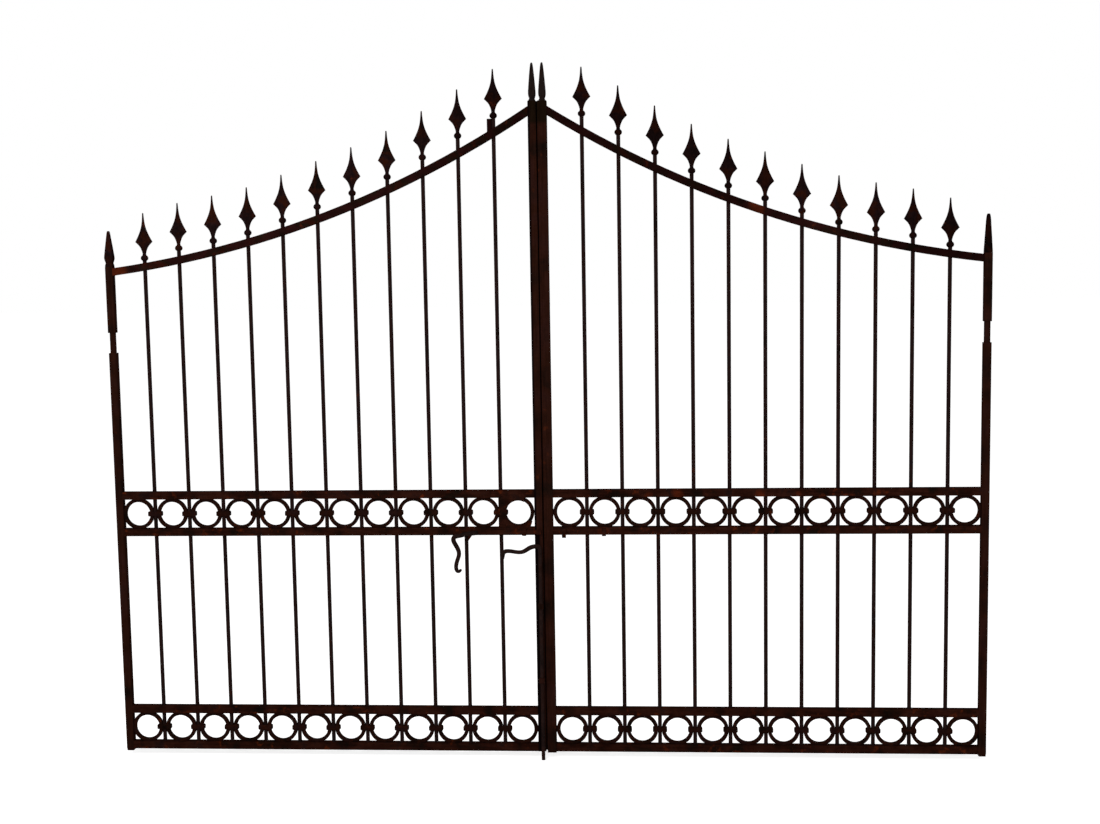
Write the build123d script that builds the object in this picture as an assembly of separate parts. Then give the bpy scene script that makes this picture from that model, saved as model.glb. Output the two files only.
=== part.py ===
"""Pair of wrought iron driveway gates: two barred leaves with spearheads and ring friezes.

Millimetres. X runs along the gate from the left heel to the right heel, -Y is the inner face that
carries the bolts, +Z is up. The origin is the centre of the underside of the left heel pivot.
"""
from build123d import *
import math
import os

os.makedirs("parts", exist_ok=True)

# ---- between the leaves and under them
MEETING_GAP = 5.0  # air between the two meeting stiles, measured along X at any depth
LAP_SIGHT = 1.2  # straight see-through left by the rebates
UNDERSIDE_Z = 8.0  # bottom of the leaves above the heel base

# ---- bar stock
STILE = 30.0  # meeting stiles
HEEL_STILE = 26.0
RAIL_H = 27.0
RAIL_D = HEEL_STILE  # flush on both faces
BAR_D = 14.0
BAR_FIT = 0.3  # on the diameter, where a bar passes a rail
TOP_RAIL_H = 26.0

# ---- rings of square bar, and the collars that clip them to the upright bars
RING_OD = 110.0
RING_WALL = 12.0
RING_DEPTH = 12.0
RING_SEAT = 2.0  # how deep a ring is flattened against each rail
COLLAR_GRIP = 4.5  # thickness of a collar inside its ring
COLLAR_H = 18.0
PLATE_T = 4.0  # lock plate, let in flush with the faces of the rails
COLLAR_D = RAIL_D - 2 * PLATE_T
CAST_FIT = 0.05
SPACER_H = 20.0
SPACER_GRIP = 4.0  # how far a spacer is hollowed round its ring

# ---- spacing along a leaf: a ring in every bay
HEEL_NIP = 1.25  # how deep the ring beside the heel stile is flattened on each side
BAY_AIR = 1.0  # what each bay between two bars is wider than its ring
MEETING_AIR = 3.0  # and the bay beside the meeting stile
PITCH = BAR_D + RING_OD + BAY_AIR
COLLAR_W = PITCH - RING_OD + 2 * (RING_WALL + COLLAR_GRIP)
HEEL_BAY = RING_OD - 2 * HEEL_NIP
MEETING_BAY = RING_OD + MEETING_AIR
# each head was driven down to its own height: tip above the rail, from the heel to the meeting stile
TIP_RISES = (176, 187, 184, 179, 184, 188, 187, 189, 197, 205, 202)
BARS = len(TIP_RISES)
LEAF_CLEAR = HEEL_BAY + BAR_D + PITCH * (BARS - 1) + MEETING_BAY  # from stile to stile
MEETING_X = HEEL_STILE / 2 + LEAF_CLEAR + STILE + MEETING_GAP / 2  # line where the leaves meet
HEEL_TO_HEEL = 2 * MEETING_X  # between the two turning axes

# ---- heights of the rails, from the leaf's underside
FRIEZE_CLEAR = RING_OD - 2 * RING_SEAT
LOCK_RAIL_Z = 786.0  # underside of the lower lock rail

# ---- sweep of the top rail, its upper edge being an arc
SWEEP_R = 3626.0
SWEEP_X = 1966.0  # lowest point of the arc, sideways from the meeting line
SWEEP_LOW_Z = 1720.0  # lowest point of the arc, above the leaf's underside
SWEEP_Z = SWEEP_LOW_Z + SWEEP_R
HEEL_RISE = 4.0  # heel stile above the end of the top rail
MEETING_RISE = 17.5  # meeting stile above the end of the top rail

# ---- spearheads: height above the foot of the blade, half width, half thickness
SPEAR_SECTIONS = [
    (0.0, 5.6, 5.6), (8.0, 5.6, 5.3), (23.0, 9.7, 6.4), (36.5, 17.0, 7.4), (49.5, 29.5, 8.2),
    (64.0, 22.0, 7.8), (78.0, 15.6, 7.0), (92.0, 10.4, 6.0), (106.0, 6.7, 4.8), (120.0, 4.4, 3.8),
    (136.0, 2.7, 2.7), (151.0, 1.8, 1.8),
]
BALL_R = 11.5
BALL_DROP = 7.5  # ball centre below the foot of the blade

# ---- heel stile
JOURNAL_Z = 1447.0
JOURNAL_L = 72.0
JOURNAL_D = 22.0
PIVOT_D = 16.0
PIVOT_FIT = 0.8  # on the diameter
PIVOT_UP = 40.0  # length of pin above its block
PIVOT_BLOCK = 24.0
BEARING_GAP = 0.5
STOP_FOOT = 4.0  # the right meeting stile runs this far below its rail

# ---- slide bolt, X from the meeting line
SLIDE_H, SLIDE_D = 16.0, 8.0
SLIDE_FIT = 0.4
SLIDE_AIR = 1.5  # behind the bar, in front of the stile
SLIDE_Z = LOCK_RAIL_Z + 12.0
SLIDE_LEFT, SLIDE_RIGHT = -292.0, -10.0
STRAP_W, STRAP_T = 14.0, 4.0
# tails hanging below the straps: X, how far the tail hangs, and how far left of X its point is
GUIDES = ((-262.0, 20.0, STRAP_W / 2), (-69.0, 3.0, 0.0))
KEEPERS = ((71.0, 10.0), (212.0, 4.0))
SLIDE_HANDLE_X = -240.0
SLIDE_HANDLE_R = 7.5
SLIDE_STUD_R = 6.0
SLIDE_HANDLE_AIR = 5.0  # from the straps to the handle, which passes in front of them

# ---- drop bolt, X from the meeting line
DROP_D = 13.0
DROP_FIT = 0.4
DROP_OUT = 12.5  # axis of the rod in front of the stile
DROP_TOP_BELOW = 58.0  # top of the straight rod below the lock rail
DROP_TOP_Z = LOCK_RAIL_Z - DROP_TOP_BELOW
DROP_DEPTH = 18.0  # how far the tip reaches into the ground
DROP_GUIDE_ZS = (533.0, 265.0)
DROP_GUIDE_W, DROP_GUIDE_H, DROP_GUIDE_WALL = 19.0, 18.0, 3.6
DROP_GUIDE_AIR = 4.4  # from a guide to the meeting line
DROP_X = -(DROP_GUIDE_AIR + DROP_GUIDE_W / 2)
DROP_HANDLE_R = 7.5

# ---- lock plate and bar stub on the left leaf
PLATE_X0, PLATE_X1 = -160.0, -69.0  # from the meeting line
PLATE_TOE = ((-40.0, -30.0), -47.0)  # slanted end of the lower arm: (X, height from the ring), X at its foot
PLATE_HOLE_FLAT = 40.5  # from the ring's centre to the straight side of the hole
STUB = 15.0
STUB_RISE = 37.0  # above the edge of the top rail


def write(name, *solids):
    """One STEP file per node; several like pieces go in as separate solids."""
    flat = []
    for item in solids:
        flat += list(item.solids())
    shape = flat[0] if len(flat) == 1 else Compound(children=flat)
    export_step(shape, "parts/" + name + ".step")


def block(x0, x1, y0, y1, z0, z1):
    return Pos((x0 + x1) / 2, (y0 + y1) / 2, (z0 + z1) / 2) * Box(x1 - x0, y1 - y0, z1 - z0)


def post(x, y, z0, z1, r):
    return Pos(x, y, (z0 + z1) / 2) * Cylinder(r, z1 - z0)


def z_up(z):
    return UNDERSIDE_Z + z


def right(shape):
    """The right leaf's copy of a left-leaf shape."""
    return mirror(shape, about=Plane.YZ.offset(MEETING_X))


# ---- places along the left leaf, from the left heel axis
HEEL_IN = HEEL_STILE / 2  # near face of the heel stile
STILE_IN = HEEL_IN + LEAF_CLEAR  # near face of the meeting stile
BAR_XS = [HEEL_IN + HEEL_BAY + BAR_D / 2 + PITCH * i for i in range(BARS)]
MEETING_BAR_X = BAR_XS[-1]
RING_XS = [HEEL_IN + HEEL_BAY / 2]
RING_XS += [(a + b) / 2 for a, b in zip(BAR_XS, BAR_XS[1:])]
RING_XS += [MEETING_BAR_X + PITCH / 2]
LOCK_RING_Z = z_up(LOCK_RAIL_Z + RAIL_H + FRIEZE_CLEAR / 2)
FOOT_RING_Z = z_up(RAIL_H + FRIEZE_CLEAR / 2)
SWEEP_CX = MEETING_X - SWEEP_X


def top_edge(x):
    """Upper edge of the top rail over a place on the left leaf."""
    return z_up(SWEEP_Z - math.sqrt(SWEEP_R**2 - (x - SWEEP_CX) ** 2))


HEEL_TOP = top_edge(HEEL_IN) + HEEL_RISE
MEETING_TOP = top_edge(STILE_IN) + MEETING_RISE


# ---- rails
def drilled(rail, z0, z1):
    for x in BAR_XS:
        rail -= post(x, 0, z0 - 1, z1 + 1, (BAR_D + BAR_FIT) / 2)
    return rail


def straight_rail(z):
    z0 = z_up(z)
    body = block(HEEL_IN, STILE_IN, -RAIL_D / 2, RAIL_D / 2, z0, z0 + RAIL_H)
    return drilled(body, z0, z0 + RAIL_H)


def top_rail():
    outer = Pos(SWEEP_CX, 0, z_up(SWEEP_Z)) * Rot(90, 0, 0) * Cylinder(SWEEP_R + TOP_RAIL_H, RAIL_D)
    inner = Pos(SWEEP_CX, 0, z_up(SWEEP_Z)) * Rot(90, 0, 0) * Cylinder(SWEEP_R, RAIL_D + 2)
    low, high = HEEL_TOP - 3 * TOP_RAIL_H, MEETING_TOP + TOP_RAIL_H
    window = block(HEEL_IN, STILE_IN, -RAIL_D, RAIL_D, low, high)
    return drilled((outer - inner) & window, low, high)


RAILS = {
    "bottom_rail": 0.0,
    "bottom_frieze_rail": RAIL_H + FRIEZE_CLEAR,
    "lower_lock_rail": LOCK_RAIL_Z,
    "upper_lock_rail": LOCK_RAIL_Z + RAIL_H + FRIEZE_CLEAR,
}
for name, z in RAILS.items():
    rail = straight_rail(z)
    write("left_" + name, rail)
    write("right_" + name, right(rail))
top = top_rail()
write("left_top_rail", top)
write("right_top_rail", right(top))


# ---- bars and spearheads
BLADE_FEET = [top_edge(x) + rise - SPEAR_SECTIONS[-1][0] for x, rise in zip(BAR_XS, TIP_RISES)]
BALL_FOOT = BALL_DROP + math.sqrt(BALL_R**2 - (BAR_D / 2) ** 2)


def spearhead(x, foot):
    faces = []
    for z, w, t in SPEAR_SECTIONS:
        plane = Plane(origin=(x, 0, foot + z), x_dir=(1, 0, 0), z_dir=(0, 0, 1))
        faces.append(plane * make_face(Polyline((w, 0), (0, t), (-w, 0), (0, -t), close=True)))
    blade = loft(faces, ruled=True)
    ball = Pos(x, 0, foot - BALL_DROP) * Sphere(BALL_R)
    ball -= post(x, 0, foot - BALL_DROP - 2 * BALL_R, foot - BALL_FOOT, BALL_R)
    return blade + ball


bars = [post(x, 0, UNDERSIDE_Z, foot - BALL_FOOT, BAR_D / 2) for x, foot in zip(BAR_XS, BLADE_FEET)]
spears = [spearhead(x, foot) for x, foot in zip(BAR_XS, BLADE_FEET)]
write("left_bars", *bars)
write("right_bars", *[right(b) for b in bars])
write("left_spearheads", *spears)
write("right_spearheads", *[right(s) for s in spears])


# ---- ring friezes
def ring(i, z):
    body = Cylinder(RING_OD / 2, RING_DEPTH) - Cylinder(RING_OD / 2 - RING_WALL, RING_DEPTH + 2)
    room = PITCH if i else HEEL_BAY - 2 * CAST_FIT
    seat = Box(room, 2 * RING_DEPTH, FRIEZE_CLEAR)
    return Pos(RING_XS[i], 0, z) * (Rot(90, 0, 0) * body & seat)


def ring_room(x, z):
    """What a collar leaves free for a ring."""
    deep = RING_DEPTH + 2 * CAST_FIT
    body = Cylinder(RING_OD / 2 + CAST_FIT, deep)
    body -= Cylinder(RING_OD / 2 - RING_WALL - CAST_FIT, deep + 2)
    return Pos(x, 0, z) * Rot(90, 0, 0) * body


def collar(i, z):
    """Band round a bar and the walls of the rings on either side of it."""
    x = BAR_XS[i]
    body = Pos(x, 0, z) * Box(COLLAR_W, COLLAR_D, COLLAR_H)
    body -= ring_room(RING_XS[i], z)
    body -= ring_room(RING_XS[i + 1], z)
    body -= Pos(x, 0, z) * Box(PITCH - RING_OD + RING_WALL, RING_DEPTH + 2 * CAST_FIT, 2 * COLLAR_H)
    return body - post(x, 0, z - COLLAR_H, z + COLLAR_H, BAR_D / 2 + CAST_FIT)


def spacer(z):
    """Block between the last ring and the meeting stile."""
    body = block(RING_XS[-1] + RING_OD / 2 - SPACER_GRIP, STILE_IN, -RING_DEPTH / 2, RING_DEPTH / 2,
                 z - SPACER_H / 2, z + SPACER_H / 2)
    return body - Pos(RING_XS[-1], 0, z) * Rot(90, 0, 0) * Cylinder(RING_OD / 2 + CAST_FIT, 2 * RAIL_D)


for frieze, z in (("lock", LOCK_RING_Z), ("bottom", FOOT_RING_Z)):
    rings = [ring(i, z) for i in range(len(RING_XS))]
    collars = [collar(i, z) for i in range(BARS)]
    write("left_" + frieze + "_rings", *rings)
    write("right_" + frieze + "_rings", *[right(r) for r in rings])
    write("left_" + frieze + "_collars", *collars)
    write("right_" + frieze + "_collars", *[right(c) for c in collars])
write("left_ring_spacer", spacer(FOOT_RING_Z))
write("right_ring_spacers", right(spacer(FOOT_RING_Z)), right(spacer(LOCK_RING_Z)))


# ---- stiles
def heel_stile():
    r = HEEL_STILE / 2
    low = block(-r, r, -r, r, UNDERSIDE_Z, z_up(JOURNAL_Z))
    neck = post(0, 0, z_up(JOURNAL_Z) - 1, z_up(JOURNAL_Z + JOURNAL_L) + 1, JOURNAL_D / 2)
    high = block(-r, r, -r, r, z_up(JOURNAL_Z + JOURNAL_L), HEEL_TOP)
    bore = post(0, 0, 0, UNDERSIDE_Z - BEARING_GAP + PIVOT_UP + 3, (PIVOT_D + PIVOT_FIT) / 2)
    return low + neck + high - bore


def meeting_stile(side, foot):
    """side -1 is the left leaf, +1 the right. The halves are rebated so that daylight hardly shows."""
    r = STILE / 2
    tight, slack = LAP_SIGHT / 2, MEETING_GAP - LAP_SIGHT / 2
    half_step = MEETING_GAP / 2
    far = MEETING_GAP / 2 + STILE
    if side < 0:
        slabs = ((-r, half_step, slack), (half_step, r, tight))
    else:
        slabs = ((-r, -half_step, tight), (-half_step, r, slack))
    body = None
    for y0, y1, near in slabs:
        x0, x1 = sorted((MEETING_X + side * near, MEETING_X + side * far))
        piece = block(x0, x1, y0, y1, z_up(-foot), MEETING_TOP)
        body = piece if body is None else body + piece
    return body


stile = heel_stile()
write("left_heel_stile", stile)
write("right_heel_stile", right(stile))
write("left_meeting_stile", meeting_stile(-1, 0))
write("right_meeting_stile", meeting_stile(1, STOP_FOOT))


# ---- finials: square points forged on the stile tops, as (half width, height) from seat to tip
HEEL_FINIAL = [(13, 0), (12.8, 4), (10.8, 13), (10.8, 15), (14.4, 32), (9.4, 82), (5.2, 120), (3, 127)]
LONG_FINIAL = [(13, 0), (12.2, 20), (10.6, 52), (8.8, 83), (7.6, 108), (6, 125), (3.2, 132)]
MEETING_FINIAL = [(12.2, 0), (12.2, 1.5), (9, 7), (9, 9), (12, 20), (11.6, 41), (9.6, 69), (7.2, 97),
                  (5, 118), (3.6, 127), (1.8, 130)]


def square_point(x, z, outline):
    faces = [Pos(x, 0, z + height) * Rectangle(2 * half, 2 * half) for half, height in outline]
    return loft(faces, ruled=True)


write("left_heel_finial", square_point(0, HEEL_TOP, HEEL_FINIAL))
write("right_heel_finial", square_point(HEEL_TO_HEEL, HEEL_TOP, LONG_FINIAL))
for side, name in ((-1, "left"), (1, "right")):
    x = MEETING_X + side * (MEETING_GAP + STILE) / 2
    write(name + "_meeting_finial", square_point(x, MEETING_TOP, MEETING_FINIAL))


# ---- heel pivots, fixed in the ground
def heel_pivot(x):
    h = PIVOT_BLOCK / 2
    top = UNDERSIDE_Z - BEARING_GAP
    return block(x - h, x + h, -h, h, 0, top) + post(x, 0, top - 1, top + PIVOT_UP, PIVOT_D / 2)


write("left_heel_pivot", heel_pivot(0))
write("right_heel_pivot", heel_pivot(HEEL_TO_HEEL))


# ---- lock plate and bar stub
half = FRIEZE_CLEAR / 2
toe_top, toe_x = PLATE_TOE
outline = [(PLATE_X0, -half), (PLATE_X0, half), (PLATE_X1, half), (PLATE_X1, toe_top[1]), toe_top,
           (toe_x, -half)]
on_face = Plane(origin=(MEETING_X, -RAIL_D / 2, LOCK_RING_Z), x_dir=(1, 0, 0), z_dir=(0, -1, 0))
plate = extrude(on_face * make_face(Polyline(*outline, close=True)), -PLATE_T)
hole = Rot(90, 0, 0) * Cylinder(RING_OD / 2 - RING_WALL, 3 * RAIL_D)
hole &= Pos(RING_OD / 2 - PLATE_HOLE_FLAT, 0, 0) * Box(RING_OD, 4 * RAIL_D, RING_OD)
plate -= Pos(RING_XS[-1], 0, LOCK_RING_Z) * hole
write("left_lock_plate", plate)

stub_x = MEETING_BAR_X - BAR_D / 2  # it stands against the last bar
stub_top = top_edge(stub_x) + STUB_RISE
stub = block(stub_x - STUB, stub_x, -STUB / 2, STUB / 2, stub_top - 2 * STUB_RISE, stub_top)
stub &= Pos(SWEEP_CX, 0, z_up(SWEEP_Z)) * Rot(90, 0, 0) * Cylinder(SWEEP_R, 3 * STUB)
write("left_top_rail_stub", stub)


# ---- slide bolt: flat bar in straps on the face of the lower lock rail
SLIDE_BACK = -(STILE / 2 + SLIDE_AIR)
SLIDE_FRONT = SLIDE_BACK - SLIDE_D


STRAP_FOOT = z_up(SLIDE_Z) - SLIDE_H / 2 - SLIDE_FIT - STRAP_T
STRAP_BACK, STRAP_FRONT = -RAIL_D / 2, SLIDE_FRONT - SLIDE_FIT - STRAP_T


def strap(x):
    """Staple over the bar, on the face of the rail."""
    half = SLIDE_H / 2 + SLIDE_FIT
    z = z_up(SLIDE_Z)
    body = block(x - STRAP_W / 2, x + STRAP_W / 2, STRAP_FRONT, STRAP_BACK, STRAP_FOOT, z + half + STRAP_T)
    return body - block(x - STRAP_W, x + STRAP_W, STRAP_FRONT + STRAP_T, 0, z - half, z + half)


def guide(x, drop, left):
    """Strap on the left leaf, with a thin tail cut to a point."""
    on_rail = Plane(origin=(x, STRAP_BACK, STRAP_FOOT), x_dir=(1, 0, 0), z_dir=(0, -1, 0))
    tail = make_face(Polyline((-STRAP_W / 2, 0), (STRAP_W / 2, 0), (-left, -drop), close=True))
    return strap(x) + extrude(on_rail * tail, STRAP_T)


def keeper(x, drop):
    """Strap on the right leaf, with a blunt tail as thick as the strap stands out."""
    side = Plane(origin=(x - STRAP_W / 2, 0, 0), x_dir=(0, 1, 0), z_dir=(1, 0, 0))
    tail = make_face(Polyline((STRAP_FRONT, STRAP_FOOT), (STRAP_BACK, STRAP_FOOT),
                              (STRAP_BACK - STRAP_T, STRAP_FOOT - drop), close=True))
    return strap(x) + extrude(side * tail, STRAP_W)


write("left_slide_bolt_guides", *[guide(MEETING_X + x, drop, left) for x, drop, left in GUIDES])
write("right_slide_bolt_keepers", *[keeper(MEETING_X + x, drop) for x, drop in KEEPERS])
slide_z = z_up(SLIDE_Z)
write("slide_bolt_bar", block(MEETING_X + SLIDE_LEFT, MEETING_X + SLIDE_RIGHT, SLIDE_FRONT, SLIDE_BACK,
                              slide_z - SLIDE_H / 2, slide_z + SLIDE_H / 2))


def bent_rod(root, steps, radii, r):
    """Round rod bent in one upright plane; steps are (x, z) from its root, radii one for each bend."""
    path = FilletPolyline(*[root + Vector(x, 0, z) for x, z in [(0, 0)] + steps], radius=radii)
    start = Plane(origin=path @ 0, z_dir=path % 0)
    rod = sweep(start * Circle(r), path=path)
    assert abs(rod.volume / (math.pi * r * r * path.length) - 1) < 0.001
    return rod


# the handle stands on a stud, far enough out to pass in front of the straps
handle_y = STRAP_FRONT - SLIDE_HANDLE_AIR - SLIDE_HANDLE_R
handle_x = MEETING_X + SLIDE_HANDLE_X
stud = Pos(handle_x, (SLIDE_FRONT + handle_y) / 2, slide_z) * Rot(90, 0, 0) * Cylinder(
    SLIDE_STUD_R, SLIDE_FRONT - handle_y)
write("slide_bolt_handle", stud + bent_rod(
    Vector(handle_x + SLIDE_HANDLE_R, handle_y, slide_z),
    [(-52.5, -1), (-84.5, -15), (-65, -74), (-80.5, -114), (-76.5, -147), (-59.5, -132)],
    [20, 12, 30, 35, 9], SLIDE_HANDLE_R))

# ---- drop bolt: round rod in two guides on the left meeting stile
drop_x, drop_y = MEETING_X + DROP_X, -(STILE / 2 + DROP_OUT)
guides = []
for z in DROP_GUIDE_ZS:
    hole_r = DROP_D / 2 + DROP_FIT
    z0, z1 = z_up(z) - DROP_GUIDE_H / 2, z_up(z) + DROP_GUIDE_H / 2
    body = block(drop_x - DROP_GUIDE_W / 2, drop_x + DROP_GUIDE_W / 2,
                 drop_y - hole_r - DROP_GUIDE_WALL, -STILE / 2, z0, z1)
    guides.append(body - post(drop_x, drop_y, z0 - 1, z1 + 1, hole_r))
write("left_drop_bolt_guides", *guides)
drop_top = z_up(DROP_TOP_Z)
write("drop_bolt_rod", post(drop_x, drop_y, -DROP_DEPTH, drop_top, DROP_D / 2))
write("drop_bolt_handle", bent_rod(
    Vector(drop_x, drop_y, drop_top), [(0, 21.5), (-36, 18.5), (-64, -2.5), (-132, 8.5), (-132, -23)],
    [11, 26, 26, 9], DROP_HANDLE_R))
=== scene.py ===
"""Pair of wrought iron driveway gates, closed, seen from the inner face that carries the bolts."""
import bmesh
import bpy
import math
from mathutils import Matrix, Vector


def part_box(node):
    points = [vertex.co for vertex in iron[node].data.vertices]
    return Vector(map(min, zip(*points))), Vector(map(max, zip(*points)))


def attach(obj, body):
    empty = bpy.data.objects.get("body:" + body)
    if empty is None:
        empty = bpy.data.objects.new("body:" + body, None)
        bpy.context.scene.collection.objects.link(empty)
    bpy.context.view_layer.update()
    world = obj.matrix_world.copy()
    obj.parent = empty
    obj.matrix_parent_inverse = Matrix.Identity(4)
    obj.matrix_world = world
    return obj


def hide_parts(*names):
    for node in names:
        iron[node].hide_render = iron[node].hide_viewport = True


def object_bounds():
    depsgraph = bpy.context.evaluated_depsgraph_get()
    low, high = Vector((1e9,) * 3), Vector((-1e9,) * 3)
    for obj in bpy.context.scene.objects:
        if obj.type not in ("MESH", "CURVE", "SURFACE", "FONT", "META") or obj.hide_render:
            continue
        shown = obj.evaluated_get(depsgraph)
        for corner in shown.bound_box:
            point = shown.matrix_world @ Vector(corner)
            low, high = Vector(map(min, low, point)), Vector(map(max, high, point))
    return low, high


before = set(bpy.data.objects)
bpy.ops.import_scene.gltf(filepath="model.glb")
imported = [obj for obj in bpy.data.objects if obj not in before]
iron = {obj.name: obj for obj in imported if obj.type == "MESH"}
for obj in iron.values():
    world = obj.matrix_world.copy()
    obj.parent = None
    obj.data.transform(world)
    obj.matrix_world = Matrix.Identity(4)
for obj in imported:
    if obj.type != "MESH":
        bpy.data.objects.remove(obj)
cad_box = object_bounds()

# --- Camera -----------------------------------------------------------------------------------
# Stands a little right of the meeting line at eye height, five metres back, turned to the left and
# tipped down slightly, so that the whole pair fills the frame.
left_heel, right_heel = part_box("left_heel_stile"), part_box("right_heel_stile")
meeting_x = (left_heel[0][0] + right_heel[1][0]) / 2
camera = bpy.data.objects.new("camera", bpy.data.cameras.new("camera"))
bpy.context.scene.collection.objects.link(camera)
camera.data.lens = 47.88
camera.data.sensor_width = 36
eye = Vector((meeting_x + 0.390, -5.096, 1.737))
turned_left, tipped_down, rolled = math.radians(4.07), math.radians(5.68), math.radians(-0.93)
camera.matrix_world = (Matrix.Translation(eye) @ Matrix.Rotation(turned_left, 4, "Z")
                       @ Matrix.Rotation(math.pi / 2 - tipped_down, 4, "X")
                       @ Matrix.Rotation(rolled, 4, "Z"))
bpy.context.scene.camera = camera
bpy.context.scene.view_settings.view_transform = "Standard"


# --- Studio floor, background and light ---------------------------------------------------------
# White seamless floor just under the lowest bolt tip, one wide soft lamp from the upper left and a
# weaker one from the right, in front of a white surround. The lamps are plain white, so the iron
# shows about the colours that are written here.
def add(tree, kind, sockets=None, **settings):
    """Adds one shader node; sockets maps an input to its value or to the output that feeds it."""
    node = tree.nodes.new(kind)
    for name, value in settings.items():
        setattr(node, name, value)
    for name, value in (sockets or {}).items():
        if isinstance(value, bpy.types.NodeSocket):
            tree.links.new(value, node.inputs[name])
        else:
            node.inputs[name].default_value = value
    return node


def new_tree(material_name):
    material = bpy.data.materials.new(material_name)
    material.use_nodes = True
    material.node_tree.nodes.clear()
    return material, material.node_tree


def seen_or_mirrored(tree):
    """1 for rays from the camera, off gloss or through glass, 0 for the light that falls on things."""
    rays = add(tree, "ShaderNodeLightPath")
    either = add(tree, "ShaderNodeMath", {0: rays.outputs["Is Camera Ray"],
                                          1: rays.outputs["Is Glossy Ray"]}, operation="MAXIMUM")
    return add(tree, "ShaderNodeMath", {0: either.outputs[0], 1: rays.outputs["Is Transmission Ray"]},
               operation="MAXIMUM").outputs[0]


floor_half, floor_gap = 60, 0.0005
bm = bmesh.new()
bmesh.ops.create_grid(bm, x_segments=1, y_segments=1, size=floor_half)
bmesh.ops.translate(bm, vec=(meeting_x, 0, cad_box[0][2] - floor_gap), verts=bm.verts)
floor_mesh = bpy.data.meshes.new("floor")
bm.to_mesh(floor_mesh)
bm.free()
floor = bpy.data.objects.new("floor", floor_mesh)
bpy.context.scene.collection.objects.link(floor)
# matt white paper: the lamps leave it a little grey, and the lift brings it to white for the eye alone
floor_white, tree = new_tree("seamless_paper")
lit = add(tree, "ShaderNodeBsdfDiffuse", {"Color": (0.82, 0.82, 0.82, 1)})
lift = add(tree, "ShaderNodeMath", {0: seen_or_mirrored(tree), 1: 0.56}, operation="MULTIPLY")
glow = add(tree, "ShaderNodeEmission", {"Color": (1, 1, 1, 1), "Strength": lift.outputs[0]})
paper = add(tree, "ShaderNodeAddShader", {0: lit.outputs[0], 1: glow.outputs[0]})
add(tree, "ShaderNodeOutputMaterial", {"Surface": paper.outputs[0]})
floor.data.materials.append(floor_white)

world = bpy.data.worlds.new("studio")
bpy.context.scene.world = world
world.use_nodes = True
world.node_tree.nodes.clear()
level = add(world.node_tree, "ShaderNodeMapRange", {"Value": seen_or_mirrored(world.node_tree),
                                                    "To Min": 0.6, "To Max": 1.0})
surround = add(world.node_tree, "ShaderNodeBackground",
               {"Color": (1, 1, 1, 1), "Strength": level.outputs[0]})
add(world.node_tree, "ShaderNodeOutputWorld", {"Surface": surround.outputs[0]})

aim_height = 1.1
for name, place, size, watts in (("key_lamp", (-1.6, -4.2, 4.6), 2.6, 190),
                                 ("fill_lamp", (3.6, -4.6, 2.6), 2.2, 60)):
    lamp = bpy.data.objects.new(name, bpy.data.lights.new(name, "AREA"))
    bpy.context.scene.collection.objects.link(lamp)
    lamp.data.size = size
    lamp.data.energy = watts
    stand = Vector((meeting_x + place[0], place[1], place[2]))
    aim = (Vector((meeting_x, 0, aim_height)) - stand).to_track_quat("-Z", "Y")
    lamp.matrix_world = Matrix.Translation(stand) @ aim.to_matrix().to_4x4()


# --- Stiles, rails and bars -----------------------------------------------------------------------
# Square and round rolled iron, hand fitted and brush painted long ago. The paint has dulled and the
# brown rust under it stains it in patches, so the iron is nearly black-brown with warmer clouds.
def linear(code):
    """An sRGB hex colour as linear light."""
    channels = [int(code[i:i + 2], 16) / 255 for i in (1, 3, 5)]
    return tuple(c / 12.92 if c <= 0.04045 else ((c + 0.055) / 1.055) ** 2.4 for c in channels) + (1,)


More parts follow.
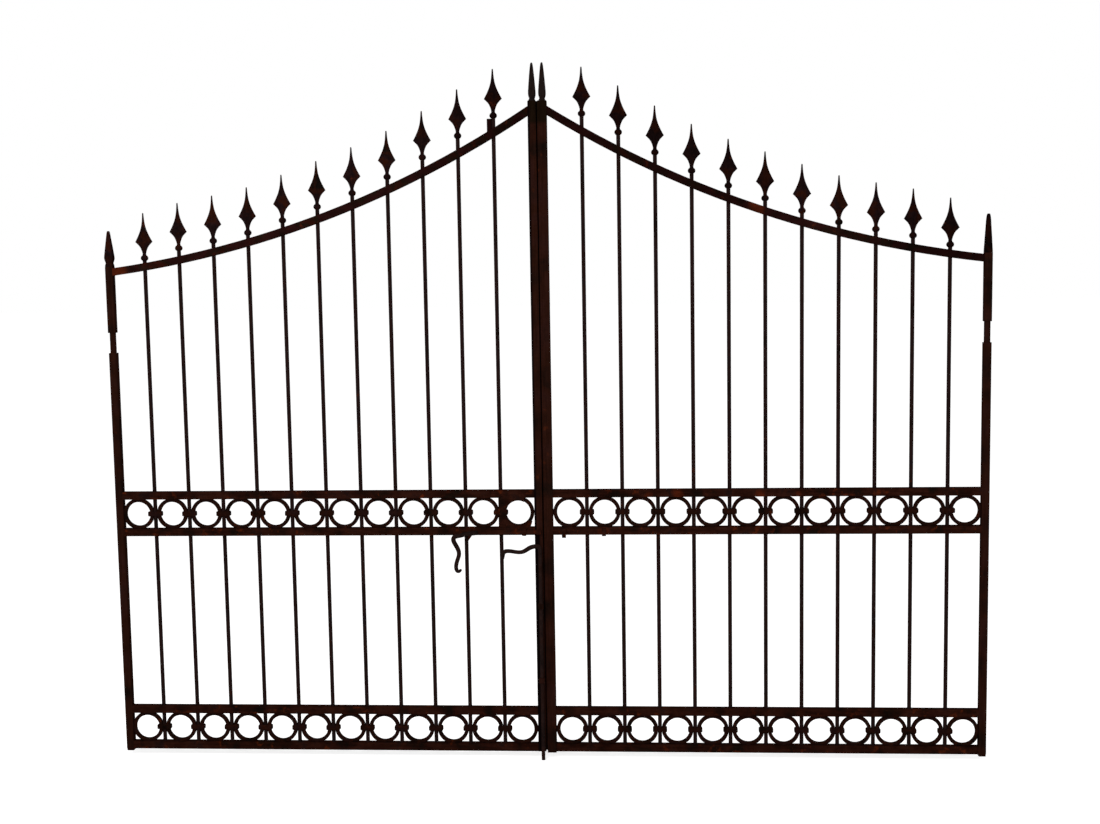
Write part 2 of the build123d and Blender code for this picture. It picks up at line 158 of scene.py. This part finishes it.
def aged_iron(name, tones, cloud_mm, rust, rust_from, streak, streak_mm, grain_mm, grain_depth_mm,
              rough, rust_rough, gloss, contrast=1.0, spots=(), darker_near=(), dark_above=None,
              painted_shade_strip=None):
    """Iron under old paint: clouds of its tones, rust patches, rolled streaks, pits and a rough grain.

    cloud_mm is the width of a cloud, rust_from the noise level above which rust has broken through,
    streak how much each axis is squeezed to draw the streaks out, streak_mm their width and contrast
    how strongly streaks and pits show.
    spots are (x, z, radius) of places that have rusted through, darker_near (x, reach) of stretches that
    kept more of their black paint, dark_above the height above which the iron is darker and
    painted_shade_strip (left edge, width above, width below, height where it changes) a near-black band
    of painted shade down the left edge, all in metres.
    """
    material, tree = new_tree(name)
    here = add(tree, "ShaderNodeTexCoord").outputs["Object"]
    # a patch of noise is about one unit wide, so a scale of 1 / width in metres gives the width
    clouds = add(tree, "ShaderNodeTexNoise", {"Vector": here, "Scale": 1000 / cloud_mm, "Detail": 5.0,
                                              "Roughness": 0.58, "Distortion": 0.3})
    spread = add(tree, "ShaderNodeMapRange", {"Value": clouds.outputs["Fac"], "From Min": 0.34,
                                              "From Max": 0.66})
    toned = add(tree, "ShaderNodeValToRGB", {"Fac": spread.outputs[0]})
    band = toned.color_ramp
    for i, code in enumerate(tones):
        stop = band.elements[i] if i < 2 else band.elements.new(1.0)
        stop.color = linear(code)
    for i, stop in enumerate(band.elements):
        stop.position = i / (len(tones) - 1)
    freckle_mm, dent_mm = 40, 22
    freckles = add(tree, "ShaderNodeTexNoise", {"Vector": here, "Scale": 1000 / freckle_mm,
                                                "Detail": 7.0, "Roughness": 0.68})
    broken = add(tree, "ShaderNodeMapRange", {"Value": freckles.outputs["Fac"], "From Min": rust_from,
                                              "From Max": rust_from + 0.07})
    rusty = add(tree, "ShaderNodeMix", {"Factor": broken.outputs[0], "A": toned.outputs["Color"],
                                        "B": linear(rust)}, data_type="RGBA")
    for x, z, radius in spots:
        centred = add(tree, "ShaderNodeMapping", {"Vector": here, "Location": (-x, 0, -z)})
        off = add(tree, "ShaderNodeVectorMath", {0: centred.outputs[0]}, operation="LENGTH")
        ragged = add(tree, "ShaderNodeMath", {0: freckles.outputs["Fac"], 1: -1.2 * radius,
                                              2: off.outputs["Value"]}, operation="MULTIPLY_ADD")
        spot = add(tree, "ShaderNodeMapRange", {"Value": ragged.outputs[0], "From Min": 0.4 * radius,
                                                "From Max": -0.1 * radius, "To Max": 0.8})
        rusty = add(tree, "ShaderNodeMix", {"Factor": spot.outputs[0], "A": rusty.outputs["Result"],
                                            "B": linear("#45190a")}, data_type="RGBA")
    # nearly black above the height dark_above
    if dark_above:
        height, soft = add(tree, "ShaderNodeSeparateXYZ", {"Vector": here}), 0.006
        darker_top = add(tree, "ShaderNodeMapRange", {"Value": height.outputs["Z"],
                                                "From Min": dark_above - soft,
                                                "From Max": dark_above + soft, "To Max": 0.8})
        rusty = add(tree, "ShaderNodeMix", {"Factor": darker_top.outputs[0], "A": rusty.outputs["Result"],
                                            "B": linear("#0e0a05")}, data_type="RGBA")
    drawn = add(tree, "ShaderNodeMapping", {"Vector": here, "Scale": streak})
    lines = add(tree, "ShaderNodeTexNoise", {"Vector": drawn.outputs[0], "Scale": 1000 / streak_mm,
                                             "Detail": 3.0, "Roughness": 0.6})
    worn = add(tree, "ShaderNodeMapRange", {"Value": lines.outputs["Fac"], "From Min": 0.32,
                                            "From Max": 0.68, "To Min": 1 - 0.38 * contrast,
                                            "To Max": 1 + 0.45 * contrast})
    lined = add(tree, "ShaderNodeMix", {"Factor": 1.0, "A": rusty.outputs["Result"],
                                        "B": worn.outputs[0]}, data_type="RGBA", blend_type="MULTIPLY")
    grain = add(tree, "ShaderNodeTexNoise", {"Vector": here, "Scale": 1000 / grain_mm, "Detail": 3.0,
                                             "Roughness": 0.65})
    pits = add(tree, "ShaderNodeMapRange", {"Value": grain.outputs["Fac"], "From Min": 0.3,
                                            "From Max": 0.52, "To Min": 1 - 0.55 * contrast})
    colour = add(tree, "ShaderNodeMix", {"Factor": 1.0, "A": lined.outputs["Result"],
                                         "B": pits.outputs[0]}, data_type="RGBA", blend_type="MULTIPLY")
    for x, reach in darker_near:
        along = add(tree, "ShaderNodeSeparateXYZ", {"Vector": here})
        apart = add(tree, "ShaderNodeMath", {0: along.outputs["X"], 1: x}, operation="SUBTRACT")
        away = add(tree, "ShaderNodeMath", {0: apart.outputs[0]}, operation="ABSOLUTE")
        kept = add(tree, "ShaderNodeMapRange", {"Value": away.outputs[0], "From Min": 0.5 * reach,
                                                "From Max": reach, "To Min": 0.62})
        colour = add(tree, "ShaderNodeMix", {"Factor": 1.0, "A": colour.outputs["Result"],
                                             "B": kept.outputs[0]}, data_type="RGBA",
                     blend_type="MULTIPLY")
    # painted shade: a near-black band down the left edge, standing in for the shadow at the meeting
    if painted_shade_strip:
        left, wide_above, wide_below, change = painted_shade_strip
        place = add(tree, "ShaderNodeSeparateXYZ", {"Vector": here})
        low = add(tree, "ShaderNodeMath", {0: place.outputs["Z"], 1: change}, operation="LESS_THAN")
        width = add(tree, "ShaderNodeMapRange", {"Value": low.outputs[0], "To Min": wide_above,
                                                 "To Max": wide_below})
        ragged = add(tree, "ShaderNodeMath", {0: lines.outputs["Fac"], 1: 0.004, 2: left - 0.002},
                     operation="MULTIPLY_ADD")
        across = add(tree, "ShaderNodeMath", {0: place.outputs["X"], 1: ragged.outputs[0]},
                     operation="SUBTRACT")
        beyond = add(tree, "ShaderNodeMath", {0: across.outputs[0], 1: width.outputs[0]},
                     operation="SUBTRACT")
        outside_painted_shade = add(tree, "ShaderNodeMapRange", {"Value": beyond.outputs[0], "From Min": -0.0015,
                                                "From Max": 0.0015})
        colour = add(tree, "ShaderNodeMix", {"Factor": outside_painted_shade.outputs[0], "A": linear("#0b0505"),
                                             "B": colour.outputs["Result"]}, data_type="RGBA")
    roughness = add(tree, "ShaderNodeMapRange", {"Value": broken.outputs[0], "To Min": rough,
                                                 "To Max": rust_rough})
    hammer = add(tree, "ShaderNodeTexNoise", {"Vector": here, "Scale": 1000 / dent_mm,
                                              "Detail": 1.0})
    rough_face = add(tree, "ShaderNodeBump", {"Height": grain.outputs["Fac"], "Strength": 0.6,
                                              "Distance": grain_depth_mm / 1000})
    dented_face = add(tree, "ShaderNodeBump", {"Height": hammer.outputs["Fac"], "Strength": 0.5,
                                               "Distance": 0.0016, "Normal": rough_face.outputs[0]})
    flaked_face = add(tree, "ShaderNodeBump", {"Height": broken.outputs[0], "Strength": 0.45,
                                               "Distance": 0.0006, "Normal": dented_face.outputs[0]},
                      invert=True)
    skin = add(tree, "ShaderNodeBsdfPrincipled", {
        "Base Color": colour.outputs["Result"], "Roughness": roughness.outputs[0],
        "Normal": flaked_face.outputs[0], "IOR": 1.5, "Specular IOR Level": gloss})
    add(tree, "ShaderNodeOutputMaterial", {"Surface": skin.outputs[0]})
    return material


def finish_cad(node, material, edge=0.0):
    """Gives a bar, rail or fitting its finish and, with edge in metres, slightly rounded corners."""
    piece = iron[node]
    for place in piece.material_slots:
        place.material = material
    if edge:
        weld = piece.modifiers.new("weld", "WELD")
        weld.merge_threshold = 0.00002
        soften = piece.modifiers.new("rounded_edges", "BEVEL")
        soften.width = edge
        soften.segments = 2
        soften.limit_method = "ANGLE"
        soften.angle_limit = math.radians(50)
        soften.harden_normals = False


# upright stock: purple-brown and brown clouds drawn out along its length, hardly any orange
upright = dict(tones=("#110a07", "#1b0d09", "#220f09", "#24110d", "#1d0f0b"), cloud_mm=150,
               rust="#33150a", rust_from=0.63, streak=(1.0, 1.0, 0.07), streak_mm=7, grain_mm=3.5,
               grain_depth_mm=0.2, rough=0.85, rust_rough=0.95, gloss=0.0, contrast=0.55)
stile_iron = aged_iron("brush_painted_upright_iron", **upright)
# the tops of the meeting stiles are nearly black, from 75 mm under their tops upwards
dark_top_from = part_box("left_meeting_stile")[1][2] - 0.075
topped_iron = aged_iron("dark_topped_upright_iron", dark_above=dark_top_from, **upright)
# left edge of the painted shade band on the left meeting stile, and the height where it widens
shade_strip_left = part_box("left_meeting_stile")[0][0]
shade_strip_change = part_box("left_lower_lock_rail")[0][2]
# thin bars are evener and greyer than the stiles, with hardly a streak
bar_iron = aged_iron("brush_painted_bar_iron", **{
    **upright, "tones": ("#140d0b", "#1a100f", "#1f1312", "#1c100d", "#191213"), "cloud_mm": 90,
    "contrast": 0.3})
# painted shade: the left stile sits back in the shadow of the meeting, so a near-black band is painted
# down its outer edge, narrow above the lower lock rail and wider below it
painted_shade_strip_iron = aged_iron("painted_shade_edged_upright_iron", dark_above=dark_top_from,
                        painted_shade_strip=(shade_strip_left, 0.007, 0.018, shade_strip_change), **upright)
# lying stock: redder, where water has stood on it, with orange patches a few centimetres long
rail_iron = aged_iron(
    "brush_painted_rail_iron", tones=("#100a07", "#190b07", "#210d08", "#26110b", "#1b0e0c"),
    cloud_mm=75, rust="#3d1709", rust_from=0.585, streak=(0.12, 1.0, 1.0), streak_mm=9, grain_mm=3.5,
    grain_depth_mm=0.3, rough=0.85, rust_rough=0.95, gloss=0.0, contrast=0.75,
    spots=((meeting_x - 0.262, 0.800, 0.030), (meeting_x + 0.212, 0.802, 0.028),
           (meeting_x + 0.372, 0.932, 0.022), (meeting_x + 0.470, 0.938, 0.030),
           (meeting_x + 0.755, 0.934, 0.024), (meeting_x + 0.890, 0.936, 0.018)))
black_stretches = ((meeting_x + 0.22, 0.75), (2 * meeting_x, 0.55))
# the swept rails shed water, so they stay darker and more purple than the level ones
swept_iron = aged_iron(
    "brush_painted_swept_rail_iron", tones=("#110b07", "#1c0c0a", "#210c0b", "#170e09", "#270d08"),
    cloud_mm=110, rust="#3a160a", rust_from=0.62, streak=(0.3, 1.0, 0.6), streak_mm=9, grain_mm=3.5,
    grain_depth_mm=0.3, rough=0.85, rust_rough=0.95, gloss=0.0, contrast=0.6,
    spots=((0.03, 1.735, 0.05), (meeting_x + 0.748, 1.925, 0.035)), darker_near=black_stretches)
for leaf in ("left", "right"):
    for member in ("upper_lock_rail", "lower_lock_rail", "bottom_frieze_rail", "bottom_rail"):
        finish_cad(leaf + "_" + member, rail_iron)
    finish_cad(leaf + "_top_rail", swept_iron)
    finish_cad(leaf + "_bars", bar_iron)
    finish_cad(leaf + "_heel_stile", stile_iron, edge=0.0012)
finish_cad("left_meeting_stile", painted_shade_strip_iron, edge=0.0008)
finish_cad("right_meeting_stile", topped_iron, edge=0.0008)
finish_cad("left_top_rail_stub", swept_iron, edge=0.0012)

# --- Spearheads -----------------------------------------------------------------------------------
# Leaf shaped heads with a ball at the neck, cast in one piece in iron and driven on to the bar ends
# above the top rail, each to its own height. The blade is diamond shaped in section, a little hollow
# between its midrib and its thin edges.
# castings hold more rust than the bars, and each has weathered to a tone of its own
cast_iron = aged_iron(
    "sand_cast_iron", tones=("#0f0a08", "#230e08", "#140b0b", "#1c0f0f", "#270f07", "#170d0f"),
    cloud_mm=125, rust="#3b170a", rust_from=0.62, streak=(1.0, 1.0, 0.5), streak_mm=6, grain_mm=2.4,
    grain_depth_mm=0.3, rough=0.85, rust_rough=0.95, gloss=0.0, contrast=0.6,
    darker_near=black_stretches)
bars_low, bars_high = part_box("left_bars")
bar_r = (bars_high[1] - bars_low[1]) / 2
bar_pitch = (bars_high[0] - bars_low[0] - 2 * bar_r) / 10
bar_xs = [bars_low[0] + bar_r + bar_pitch * i for i in range(11)]
leaf_foot = bars_low[2]
sweep_radius, sweep_side, sweep_low = 3.626, 1.966, 1.720
tip_rises = (0.176, 0.187, 0.184, 0.179, 0.184, 0.188, 0.187, 0.189, 0.197, 0.205, 0.202)


def top_of_rail(x):
    """Upper edge of the left leaf's swept top rail at x."""
    run = x - (meeting_x - sweep_side)
    return leaf_foot + sweep_low + sweep_radius - math.sqrt(sweep_radius ** 2 - run ** 2)


def finished(bm, name, body, node, material, sharp=40):
    """Makes a modelled shape a piece that rides on its body and stands for its node."""
    bmesh.ops.remove_doubles(bm, verts=bm.verts, dist=0.000005)
    bmesh.ops.recalc_face_normals(bm, faces=bm.faces)
    mesh = bpy.data.meshes.new(name)
    bm.to_mesh(mesh)
    bm.free()
    mesh.shade_smooth()
    mesh.set_sharp_from_angle(angle=math.radians(sharp))
    piece = bpy.data.objects.new(name, mesh)
    bpy.context.scene.collection.objects.link(piece)
    mesh.materials.append(material)
    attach(piece, body)
    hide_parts(node)
    return piece


def copy_to(bm, pattern, places):
    """Adds a copy of a finished pattern at each place."""
    for place in places:
        before = set(bm.verts)
        bm.from_mesh(pattern)
        new = [v for v in bm.verts if v not in before]
        bmesh.ops.translate(bm, vec=place, verts=new)


# height above the foot of the blade, half width, half thickness, and how far the section is from
# round (0) towards a diamond (1) or a hollow one (above 1)
ball = [(-18.9, 1.4), (-18.4, 3.9), (-17.2, 6.9), (-15.2, 9.8), (-12.4, 12), (-9.4, 13), (-6.4, 13.1),
        (-3.4, 12.3), (-0.8, 10.7), (1.2, 8.5), (2.4, 6.9)]
blade = [(8, 6.4, 5.3, 0.2), (16, 8.3, 5.9, 0.7), (23, 10.8, 6.4, 1.0), (30, 13.9, 6.9, 1.1),
         (36.5, 18.4, 7.4, 1.15), (43.4, 25.1, 7.9, 1.15), (48.3, 30.3, 8.2, 1.15), (49.6, 31.3, 8.2, 1.15),
         (51.2, 30.4, 8.2, 1.15), (57, 27.1, 8, 1.15), (64, 23.4, 7.8, 1.15), (71, 19.9, 7.4, 1.15),
         (78, 16.7, 7, 1.15), (85, 13.7, 6.6, 1.15), (92, 11.2, 6, 1.15), (99, 9.1, 5.4, 1.1),
         (106, 7.2, 4.8, 1.0), (113, 6, 4.2, 1.0), (120, 4.9, 3.7, 0.9), (127, 4.1, 3.2, 0.8),
         (134, 3.4, 2.7, 0.6), (141, 2.9, 2.3, 0.4), (147.5, 2.5, 1.9, 0.2), (150.2, 2, 1.4, 0.0),
         (151, 1, 0.5, 0.0)]
head_length = blade[-1][0] / 1000
sections = [(h, w, w, 0.0) for h, w in ball] + blade
bm = bmesh.new()
line = [bm.verts.new((w / 1000, 0, h / 1000)) for h, w, _, _ in sections]
edges = [bm.edges.new(pair) for pair in zip(line, line[1:])]
bmesh.ops.spin(bm, geom=line + edges, cent=(0, 0, 0), axis=(0, 0, 1), angle=math.tau, steps=24,
               use_merge=True, use_duplicate=False)
same_place = 0.00001
bmesh.ops.remove_doubles(bm, verts=bm.verts, dist=same_place)
for h, w, thick, diamond in sections:
    belt = [v for v in bm.verts if abs(v.co.z - h / 1000) < same_place]
    for v in belt:
        across = (abs(v.co.x) + abs(v.co.y)) / v.co.xy.length
        v.co.xy = v.co.xy / across ** diamond
        v.co.y *= thick / w
    if h in (sections[0][0], sections[-1][0]):
        bmesh.ops.contextual_create(bm, geom=belt)
bmesh.ops.recalc_face_normals(bm, faces=bm.faces)
spearhead = bpy.data.meshes.new("spearhead_pattern")
bm.to_mesh(spearhead)
bm.free()
for leaf in ("left", "right"):
    bm = bmesh.new()
    copy_to(bm, spearhead, [(x if leaf == "left" else 2 * meeting_x - x, 0,
                             top_of_rail(x) + rise - head_length) for x, rise in zip(bar_xs, tip_rises)])
    finished(bm, leaf + "_spearhead_castings", leaf + "_leaf", leaf + "_spearheads", cast_iron,
             sharp=35)

# --- Finials --------------------------------------------------------------------------------------
# Square points forged on the stile tops. The meeting stiles and the left heel stile have a nicked neck
# under a long bullet, and the right heel stile one plain long taper.
short_point = [(12.2, 0), (12.2, 1.5), (10.4, 4.6), (9.2, 6.8), (8.9, 8), (9.2, 9.2), (10.8, 14), (12, 19),
               (12.4, 25), (12.3, 33), (11.6, 42), (10.7, 55), (9.6, 69), (8.4, 84), (7.1, 98), (6.0, 109),
               (5.0, 118), (4.2, 124), (3.3, 127.8), (1.8, 130)]
heel_point = [(13, 0), (13, 2), (12.8, 4.6), (12, 9), (11.1, 12.4), (10.8, 14), (11.1, 15.6), (12.8, 22),
              (14.1, 28), (14.4, 32.5), (14.1, 38), (13.1, 48), (11.4, 64), (9.4, 82), (7.7, 97),
              (6.2, 110), (5.2, 119), (4.4, 124), (3, 127)]
long_point = [(13, 0), (12.8, 9), (12.2, 20), (11.4, 35), (10.6, 52), (9.7, 67), (8.8, 83), (8.1, 97),
              (7.4, 110), (6.5, 120), (5.6, 126.5), (4.7, 130), (3.2, 132)]
# the two highest points have washed to a cooler grey-brown than the castings
washed_iron = aged_iron(
    "weathered_forged_points", tones=("#0e0a09", "#160f0d", "#1b1311", "#161110", "#1a100c"), cloud_mm=60,
    rust="#2f140a", rust_from=0.62, streak=(1.0, 1.0, 0.3), streak_mm=6, grain_mm=3.0,
    grain_depth_mm=0.3, rough=0.85, rust_rough=0.95, gloss=0.01, contrast=0.6)
rises, corner_round = 0.0005, 0.0014  # an edge that climbs more than the first is a corner to round
for node, body, outline, finish in (
        ("left_heel_finial", "left_leaf", heel_point, cast_iron),
        ("right_heel_finial", "right_leaf", long_point, cast_iron),
        ("left_meeting_finial", "left_leaf", short_point, washed_iron),
        ("right_meeting_finial", "right_leaf", short_point, washed_iron)):
    low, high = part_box(node)
    bm = bmesh.new()
    corner = [bm.verts.new((half / 1000, half / 1000, height / 1000)) for half, height in outline]
    edges = [bm.edges.new(pair) for pair in zip(corner, corner[1:])]
    bmesh.ops.spin(bm, geom=corner + edges, cent=(0, 0, 0), axis=(0, 0, 1), angle=math.tau, steps=4,
                   use_merge=True, use_duplicate=False)
    bmesh.ops.remove_doubles(bm, verts=bm.verts, dist=same_place)
    for height in (outline[0][1], outline[-1][1]):
        rim = [v for v in bm.verts if abs(v.co.z - height / 1000) < same_place]
        bmesh.ops.contextual_create(bm, geom=rim)
    corners = [e for e in bm.edges if abs(e.verts[0].co.z - e.verts[1].co.z) > rises]
    bmesh.ops.bevel(bm, geom=corners, offset=corner_round, segments=3, profile=0.5, affect="EDGES",
                    material=-1, clamp_overlap=True)
    bmesh.ops.translate(bm, vec=((low[0] + high[0]) / 2, (low[1] + high[1]) / 2, low[2]), verts=bm.verts)
    finished(bm, node + "_forging", body, node, finish)

# --- Rings ----------------------------------------------------------------------------------------
# Square bar bent hot round a mandrel and forge welded into rings, one in every bay of each frieze.
# Each is flattened a little where it is driven in between the rails.
ring_low, ring_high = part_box("left_lock_rings")
ring_r, ring_wall, ring_round = 0.0561, 0.0131, 0.0018
ring_depth = ring_high[1] - ring_low[1]
ring_seat = (ring_high[2] - ring_low[2]) / 2
first_bay = (bar_xs[0] - bar_r - left_heel[1][0]) / 2
ring_xs = [left_heel[1][0] + first_bay] + [x + bar_pitch / 2 for x in bar_xs]
# bent and pressed hot, so it is darker and its scale has flaked in small patches
ring_iron = aged_iron(
    "forged_ring_iron", tones=("#0e0806", "#180b07", "#1f0d08", "#190d0c", "#240f09"), cloud_mm=60,
    rust="#381609", rust_from=0.6, streak=(1.0, 0.3, 1.0), streak_mm=5, grain_mm=3.0,
    grain_depth_mm=0.3, rough=0.82, rust_rough=0.95, gloss=0.0, contrast=0.7)
bm = bmesh.new()
section = bmesh.ops.create_grid(bm, x_segments=1, y_segments=1, size=0.5)["verts"]
bmesh.ops.scale(bm, vec=(ring_wall, ring_depth, 1), verts=section)
bmesh.ops.bevel(bm, geom=section, offset=ring_round, segments=3, profile=0.5, affect="VERTICES",
                material=-1)
bmesh.ops.translate(bm, vec=(ring_r - ring_wall / 2, 0, 0), verts=bm.verts)
bmesh.ops.delete(bm, geom=bm.faces[:], context="FACES_ONLY")
bmesh.ops.spin(bm, geom=bm.verts[:] + bm.edges[:], cent=(0, 0, 0), axis=(0, 1, 0), angle=math.tau,
               steps=72, use_merge=True, use_duplicate=False)
bmesh.ops.remove_doubles(bm, verts=bm.verts, dist=0.000005)
for v in bm.verts:
    v.co.z = max(-ring_seat, min(ring_seat, v.co.z))
bmesh.ops.recalc_face_normals(bm, faces=bm.faces)
ring = bpy.data.meshes.new("ring_pattern")
bm.to_mesh(ring)
for v in bm.verts:
    v.co.x = max(-first_bay, min(first_bay, v.co.x))
end_ring = bpy.data.meshes.new("end_ring_pattern")
bm.to_mesh(end_ring)
bm.free()
for leaf in ("left", "right"):
    for frieze in ("lock", "bottom"):
        node = leaf + "_" + frieze + "_rings"
        low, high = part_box(node)
        places = [(x if leaf == "left" else 2 * meeting_x - x, 0, (low[2] + high[2]) / 2) for x in ring_xs]
        bm = bmesh.new()
        copy_to(bm, end_ring, places[:1])
        copy_to(bm, ring, places[1:])
        finished(bm, leaf + "_" + frieze + "_ring_forgings", leaf + "_leaf", node, ring_iron,
                 sharp=50)

# --- Collars --------------------------------------------------------------------------------------
# Flat iron wrapped hot round a bar and the walls of the rings on either side of it, so that its ends
# show as soft lugs inside the rings.
clip_low, clip_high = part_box("left_lock_collars")
soft_ends = 0.003  # the lugs stand out this much more than the plain band, for their rounded ends
clip_width = clip_high[0] - clip_low[0] - 10 * bar_pitch + soft_ends
clip_depth, clip_height = clip_high[1] - clip_low[1], clip_high[2] - clip_low[2]
bm = bmesh.new()
bmesh.ops.create_cube(bm, size=1)
bmesh.ops.scale(bm, vec=(clip_width, clip_depth, clip_height), verts=bm.verts)
end_round, rim_round = 0.0042, 0.0018
ends = [e for e in bm.edges if abs(e.verts[0].co.y - e.verts[1].co.y) > clip_depth / 2]
bmesh.ops.bevel(bm, geom=ends, offset=end_round, segments=4, profile=0.5, affect="EDGES", material=-1)
rims = [e for e in bm.edges if abs(e.verts[0].co.y - e.verts[1].co.y) < clip_depth / 2]
bmesh.ops.bevel(bm, geom=rims, offset=rim_round, segments=3, profile=0.5, affect="EDGES", material=-1)
clip = bpy.data.meshes.new("collar_pattern")
bm.to_mesh(clip)
bm.free()
for leaf in ("left", "right"):
    for frieze in ("lock", "bottom"):
        node = leaf + "_" + frieze + "_collars"
        low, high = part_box(node)
        bm = bmesh.new()
        copy_to(bm, clip, [(x if leaf == "left" else 2 * meeting_x - x, 0, (low[2] + high[2]) / 2)
                           for x in bar_xs])
        finished(bm, leaf + "_" + frieze + "_collar_bands", leaf + "_leaf", node, ring_iron,
                 sharp=50)

# --- Bolts ----------------------------------------------------------------------------------------
# A flat slide bolt in two staples with a long wavy tail to pull it by, and a round drop bolt whose top
# is bent over into a wavy handle. Plain smithed iron, darker and smoother where hands and staples rub.
rubbed_iron = aged_iron(
    "rubbed_smithed_iron", tones=("#0f0a09", "#180e0c", "#1c110f", "#20120f", "#1c0d09"), cloud_mm=70,
    rust="#2f140a", rust_from=0.6, streak=(0.4, 1.0, 0.4), streak_mm=6, grain_mm=3.0,
    grain_depth_mm=0.25, rough=0.75, rust_rough=0.92, gloss=0.02, contrast=0.6)
rod_radius = 0.0075


def smithed_rod(name, points, swell, body, node):
    """A round rod drawn along points (x from the meeting line, y, z above the leaf's foot, in mm).

    swell is how thick the rod is at each point, as a share of its plain radius.
    """
    curve = bpy.data.curves.new(name, "CURVE")
    curve.dimensions = "3D"
    line = curve.splines.new("NURBS")
    line.points.add(len(points) - 1)
    for point, (x, y, z), r in zip(line.points, points, swell):
        point.co = (meeting_x + x / 1000, y / 1000, leaf_foot + z / 1000, 1)
        point.radius = r
    line.order_u = 4
    line.use_endpoint_u = True
    line.resolution_u = 8
    curve.bevel_depth = rod_radius
    curve.bevel_resolution = 5
    curve.use_fill_caps = True
    drawn = bpy.data.objects.new(name, curve)
    bpy.context.scene.collection.objects.link(drawn)
    bpy.context.view_layer.update()
    bm = bmesh.new()
    bm.from_mesh(drawn.evaluated_get(bpy.context.evaluated_depsgraph_get()).to_mesh())
    bpy.data.objects.remove(drawn)
    return finished(bm, name, body, node, rubbed_iron, sharp=60)


smithed_rod("slide_bolt_tail",
            [(-240, -24.5, 798), (-240, -33, 798), (-240, -41.4, 798), (-251, -41.4, 797.7),
             (-264, -41.4, 797.3), (-277, -41.4, 795), (-290, -41.4, 790), (-304, -41.4, 788.5),
             (-318, -41.4, 785.5), (-320, -41.4, 771.5), (-310.5, -41.4, 756), (-302, -41.4, 740),
             (-298.5, -41.4, 724.5), (-303, -41.4, 709.5), (-308.5, -41.4, 695.5),
             (-311.5, -41.4, 681.5), (-311, -41.4, 668), (-305.5, -41.4, 660), (-297.5, -41.4, 662),
             (-294, -41.4, 669)],
            [0.95, 0.95, 1.0, 1.0, 1.0, 1.0, 1.0, 1.05, 1.1, 1.1, 1.08, 1.05, 1.02, 1.0, 1.0, 0.98,
             0.94, 0.86, 0.74, 0.58],
            "slide_bolt", "slide_bolt_handle")
smithed_rod("drop_bolt_tail",
            [(-13.9, -27.5, 724), (-13.9, -27.5, 737), (-15.5, -27.5, 746.5), (-25, -27.5, 748.5),
             (-38, -27.5, 747.3), (-51, -27.5, 743), (-63.5, -27.5, 734), (-76, -27.5, 727.5),
             (-92, -27.5, 726.5), (-110, -27.5, 730), (-127, -27.5, 732), (-139.5, -27.5, 730.5),
             (-145.8, -27.5, 723), (-146.4, -27.5, 714), (-146, -27.5, 703.5)],
            [0.93, 0.98, 1.02, 1.05, 1.08, 1.1, 1.05, 0.98, 0.96, 0.96, 0.98, 1.04, 1.1, 1.0, 0.66],
            "drop_bolt", "drop_bolt_handle")
finish_cad("drop_bolt_rod", rubbed_iron)
finish_cad("left_drop_bolt_guides", stile_iron, edge=0.0008)
for node in ("slide_bolt_bar", "left_slide_bolt_guides", "right_slide_bolt_keepers",
             "left_lock_plate"):
    finish_cad(node, rail_iron, edge=0.0008)

# --- Spacers and heel pivots ------------------------------------------------------------------------
# Small cast blocks that steady the last rings against the stiles, and the square foot blocks on the
# ground with the pins that the heel stiles turn on.
for node in ("left_ring_spacer", "right_ring_spacers"):
    finish_cad(node, cast_iron)
for node in ("left_heel_pivot", "right_heel_pivot"):
    finish_cad(node, stile_iron)
